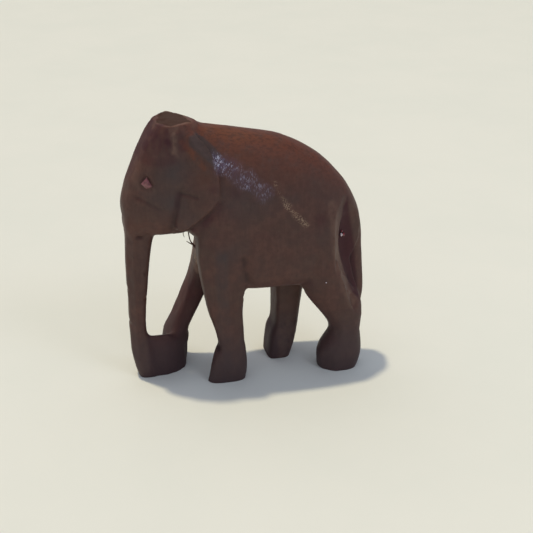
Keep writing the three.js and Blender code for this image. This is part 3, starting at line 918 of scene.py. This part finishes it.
def wood_colour(wood, broad, patch):
    """The stain's colour with painted shade and highlights, laid on in order: each row covers what
    is under it by an amount that comes from noise, the surface's slope, the height or one of the
    body's layers."""
    streaks = wood.noise(0.9, 3, squeeze=(1, 1, 0.12))
    flecks = wood.noise(0.5, 2, squeeze=(1, 1, 0.3), roughness=0.7)
    pores = wood.noise(0.9, 3, squeeze=(0.6, 1, 1), roughness=0.65)
    lit = wood.upward().between(0.05, 0.8)
    # darker towards the ground: painted shade
    feet = 1 - wood.height().between(5, 26)
    layer = wood.attribute
    colour = wood.blend(broad.between(0.38, 0.62), STAIN_AND_PAINTED_LIGHT["brown"], STAIN_AND_PAINTED_LIGHT["light_brown"])
    for amount, name in (
        (patch.between(0.35, 0.62) * 0.4, "dark_patch"),
        (lit * patch.between(0.1, 0.6) * 0.85, "red_back"),
        (layer("rust") * patch.between(0.25, 0.55) * 0.75, "rust"),
        (lit * pores.between(0.46, 0.62) * 0.5, "pore"),
        # grey stain, with painted shade and painted reflection
        (layer("grey") * (0.5 + patch * 0.5), "grey"),
        # purple painted shade on faces turned from the light, cuts and hollows
        (layer("purple_shade") * (0.65 + pores * 0.35), "purple_shade"),
        (streaks.between(0.42, 0.62) * 0.14, "grain"),
        # painted shade towards the ground
        (feet * 0.7, "shade_near_ground"),
        (flecks.between(0.62, 0.72) * 0.3, "fleck"),
        (layer("cap") * 0.85, "sawn_cap"),
        # painted shade in creases and hollows
        (layer("crease_shade") * 0.75, "hollow"),
        # worn edges and painted highlights
        (layer("wear_and_highlight") * patch.between(0.25, 0.6) * 0.6, "bare_edge_and_highlight"),
    ):
        colour = wood.blend(amount, colour, STAIN_AND_PAINTED_LIGHT[name])
    return colour, streaks


def stained_wood():
    """Stain under thin varnish, with painted shade and painted highlights laid into its colour.
    Where the varnish has crazed, a purple haze of painted sheen and pale strokes of painted glare
    lie over the stain, and the surface is glossier and less even."""
    wood = Finish("stained_wood")
    broad = wood.noise(7, 3)
    patch = wood.noise(2.6, 4, roughness=0.62)
    strokes = wood.noise(0.36, 2.5, squeeze=(1, 1, 0.3), roughness=0.6)
    gleam = wood.noise(1.5, 2, roughness=0.5)
    specks = wood.noise(0.42, 2, roughness=0.6)
    crazing_and_glare = wood.attribute("crazing_and_glare")
    colour, streaks = wood_colour(wood, broad, patch)
    # painted sheen and painted glare streaks over the crazed varnish
    haze = crazing_and_glare * (strokes.between(0.42, 0.56) * 0.4 + 0.42)
    glare_streaks = crazing_and_glare ** 1.4 * strokes.between(0.48, 0.62) * gleam.between(0.36, 0.6) * 0.8
    # painted glints along the hip line and down the chest
    glint_specks = wood.attribute("glint") * specks.between(0.46, 0.6) * 0.85
    colour = wood.blend(haze, colour, STAIN_AND_PAINTED_LIGHT["painted_sheen_haze"])
    colour = wood.blend(glare_streaks, colour, STAIN_AND_PAINTED_LIGHT["painted_glare_streak"])
    colour = wood.blend(glint_specks, colour, STAIN_AND_PAINTED_LIGHT["painted_glint"])
    height = strokes * (1.1 * crazing_and_glare + 0.04) + streaks * 0.12 + patch * 0.3
    dry = wood.attribute("purple_shade") * 0.3 + wood.attribute("cap") * 0.25
    roughness = 0.55 - crazing_and_glare * 0.3 + dry + broad.between(0.3, 0.7) * 0.08
    return wood.surface(
        Base_Color=colour, Roughness=roughness, Normal=wood.bump(height, 0.5, 0.3),
        Coat_Weight=crazing_and_glare * 0.2 + 0.04, Coat_Roughness=0.35, Specular_IOR_Level=0.34,
    )


def eye_finish():
    """Clouded pink-red, a little worn."""
    eye = Finish("eye_inlay")
    cloud = eye.noise(0.9, 3)
    colour = eye.blend(cloud.between(0.35, 0.65), rgb(126, 68, 77), rgb(98, 48, 55))
    bump = eye.bump(cloud, 0.3, 0.1)
    return eye.surface(Base_Color=colour, Roughness=0.3, Normal=bump, Coat_Weight=0.4)


def bead_finish(name, first, second):
    bead = Finish(name)
    cloud = bead.noise(0.6, 2)
    return bead.surface(Base_Color=bead.blend(cloud, first, second), Roughness=0.08, Coat_Weight=1.0)


def floor_finish():
    paper = Finish("pale_card")
    stain = paper.noise(60, 4, roughness=0.6)
    speck = paper.noise(2.2, 2, roughness=0.7)
    colour = paper.blend(stain.between(0.3, 0.75), rgb(232, 231, 230), rgb(229, 229, 228))
    colour = paper.blend(speck.between(0.74, 0.8) * 0.25, colour, rgb(190, 184, 170))
    return paper.surface(Base_Color=colour, Roughness=0.75, Specular_IOR_Level=0.2)


# ----------------------------------------
# Small pieces.
def strand(rows, rings=24, sides=8):
    """A thin round thread: a circle whose radius changes along a smooth curve, square to it."""
    x, y, z, radius = between_rows(rows, rings).T
    centre = np.stack([x, y, z], -1)
    heading = np.gradient(centre, axis=0)
    heading /= np.linalg.norm(heading, axis=1, keepdims=True)
    first = np.cross(heading, [0.3, 1, 0.2])
    first /= np.linalg.norm(first, axis=1, keepdims=True)
    second = np.cross(heading, first)
    angle = 2 * np.pi * np.arange(sides) / sides
    across, up = np.cos(angle)[None, :, None], np.sin(angle)[None, :, None]
    ring = across * first[:, None] + up * second[:, None]
    points = centre[:, None] + radius[:, None, None] * ring
    return points.reshape(-1, 3), tube_faces(rings, sides)


def dome(centre, radii, rings=14, sides=20):
    """A small closed drop: an ellipsoid in latitude and longitude, whose pole rings are tiny."""
    pole = np.pi / 2 - 0.02
    latitude = np.linspace(-pole, pole, rings)[:, None]
    angle = (2 * np.pi * np.arange(sides) / sides)[None, :]
    x = np.cos(latitude) * np.cos(angle)
    y = np.cos(latitude) * np.sin(angle)
    z = np.sin(latitude) + 0 * angle
    points = np.stack([x, y, z], -1).reshape(-1, 3) * radii + centre
    return points, tube_faces(rings, sides)


def eye_gem(side):
    """A four-cornered inlay. Its outline is walked round with straight sides; ring by ring it
    shrinks from the rim and rises as 1 less a power of what is left, to a crowned face. Two
    more rings close it behind."""
    outline = np.array([(-1.75, -0.2), (-0.1, -1.6), (1.65, -0.9), (0.15, 1.9)])
    count, steps, smallest, behind = 28, 16, 0.03, -0.9
    yaw = math.radians(24)  # it faces forwards with the cheek
    walk = np.linspace(0, 4, count, endpoint=False)
    corner = walk.astype(int)
    f = (walk - corner)[:, None]
    rim = outline[corner] * (1 - f) + outline[(corner + 1) % 4] * f
    left = np.linspace(1, smallest, steps - 2)
    shrink = np.concatenate([[smallest, 0.9], left])
    rise = np.concatenate([[behind, behind], 0.42 * (1 - left ** 2.4)])
    flat = rim[None] * shrink[:, None, None]
    out = rise[:, None] + 0 * flat[..., 0]
    x = flat[..., 0] * math.cos(yaw) - out * math.sin(yaw)
    y = -out * math.cos(yaw) - flat[..., 0] * math.sin(yaw)
    points = np.stack([x, -side * y, flat[..., 1]], -1).reshape(-1, 3)
    return points + EYE_PLACE * on(side), tube_faces(steps, count)


def face_outwards(mesh):
    """Merges doubled points and turns every face outwards."""
    work = bmesh.new()
    work.from_mesh(mesh)
    bmesh.ops.remove_doubles(work, verts=work.verts, dist=1e-7)
    bmesh.ops.recalc_face_normals(work, faces=work.faces)
    work.to_mesh(mesh)
    work.free()


def small_piece(name, forms, finish):
    """A smooth piece of one or more closed forms, with its finish and slot."""
    made = mesh_object(name, forms)
    made.data.shade_smooth()
    face_outwards(made.data)
    made.data.materials.append(finish)
    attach(made, "root")
    return made


def fibres():
    """Torn threads of wood between the jaw and the left front leg: x, y, z and radius."""
    return [
        strand([
            (-19, -2, 51.6, .2), (-19.1, -2, 49.9, .2), (-18.7, -2.1, 47.5, .2),
            (-17.7, -2.2, 45.8, .26), (-16.2, -2.7, 44.4, .3),
        ]),
        strand([
            (-19.9, -2, 47.2, .08), (-18.9, -2.1, 46.5, .16), (-17.8, -2.3, 45.7, .22),
            (-16.8, -2.6, 44.4, .26),
        ]),
        strand([(-20.6, -2, 51.8, .14), (-20.8, -2, 49.8, .12), (-20.5, -2, 48.6, .07)]),
    ]


# ----------------------------------------
# The elephant.
wood_finish = stained_wood()
body = body_piece()
body.data.materials.append(wood_finish)
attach(body, "root")
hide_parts("carved_body")

eye_paint = eye_finish()
for label, side in (("left", LEFT), ("right", RIGHT)):
    gem = small_piece(f"{label}_eye_gem", [eye_gem(side)], eye_paint)
    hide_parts(f"{label}_eye")

small_piece("torn_fibres", fibres(), wood_finish)
# drops of varnish whose pale whitish colour is a painted glint
glint_drops = [dome((29.9, -6.5, 46.1), (.42, .4, .6)), dome((22.9, -13.9, 33.2), (.2, .2, .2))]
painted_glint_resin = bead_finish("painted_glint_resin", rgb(236, 222, 228), rgb(214, 190, 204))
small_piece("glinting_varnish_beads", glint_drops, painted_glint_resin)
red_drops = [dome((30.7, -6.2, 46), (.4, .4, .62)), dome((30.1, -6.3, 47.3), (.28, .3, .36))]
red_resin = bead_finish("red_resin", rgb(150, 44, 58), rgb(104, 26, 40))
small_piece("red_beads", red_drops, red_resin)


# ----------------------------------------
# Floor, lights and camera.
def floor_piece():
    """A flat sheet on a grid of x and y, far wider than the view and just under the feet."""
    count, reach, gap = 25, 1800, 0.02
    steps = np.linspace(-reach, reach, count)
    x, y = np.meshgrid(steps, steps, indexing="ij")
    points = np.stack([x, y, 0 * x - gap], -1).reshape(-1, 3)
    cells = np.arange(count - 1)
    here = (cells[:, None] * count + cells[None, :]).ravel()
    faces = np.stack([here, here + count, here + count + 1, here + 1], -1).tolist()
    made = mesh_object("floor", [(points, faces)])
    made.data.materials.append(floor_finish())


def aimed(made, towards):
    """Turns a light or camera to look at a place, and adds it to the scene."""
    made.rotation_euler = (Vector(towards) - made.location).to_track_quat("-Z", "Y").to_euler()
    bpy.context.scene.collection.objects.link(made)


def sun(name, direction, strength, colour, spread):
    """Parallel light from a direction. A wider spread, in degrees, softens its shadow."""
    light = bpy.data.lights.new(name, "SUN")
    light.energy, light.color, light.angle = strength, colour, math.radians(spread)
    made = bpy.data.objects.new(name, light)
    made.location = Vector(direction) * 0.5
    aimed(made, (0, 0, 0))


def softbox(name, place, towards, size, power, colour):
    """A rectangle of light, in metres and watts."""
    light = bpy.data.lights.new(name, "AREA")
    light.shape, light.size, light.size_y = "RECTANGLE", size[0], size[1]
    light.energy, light.color = power, colour
    made = bpy.data.objects.new(name, light)
    made.location = place
    aimed(made, towards)


def room(colour, strength):
    """Even light from all round."""
    world = bpy.data.worlds.new("room")
    world.use_nodes = True
    background = world.node_tree.nodes["Background"].inputs
    background["Color"].default_value = (*colour, 1)
    background["Strength"].default_value = strength
    bpy.context.scene.world = world


def camera(azimuth, elevation, distance, target):
    """A camera at a distance in metres from a target, off the elephant's left side by the
    azimuth and above the ground by the elevation, in degrees."""
    lens = bpy.data.cameras.new("camera")
    lens.lens, lens.sensor_width, lens.clip_start = 70, 36, 0.01
    made = bpy.data.objects.new("camera", lens)
    turn, rise = math.radians(azimuth), math.radians(elevation)
    level = math.cos(rise)
    back = Vector((math.sin(turn) * level, -math.cos(turn) * level, math.sin(rise)))
    made.location = target + back * distance
    aimed(made, target)
    bpy.context.scene.camera = made


floor_piece()
sun("key", (-0.165, 0.184, 0.969), 1.62, (1.0, 0.90, 0.60), 3)
sun("back_wall", (-0.3, 0.56, 0.77), 0.24, (1.0, 0.98, 0.94), 60)
softbox("window", (0.44, -0.55, 0.70), (0, 0, 0.06), (0.3, 0.3), 0.8, (0.8, 0.88, 1.0))
room((0.84, 0.92, 1.0), 0.445)
bpy.context.scene.view_settings.view_transform = "Standard"
camera(-14, 25, 0.322, Vector((2.76, -15.68, 42)) * MM)
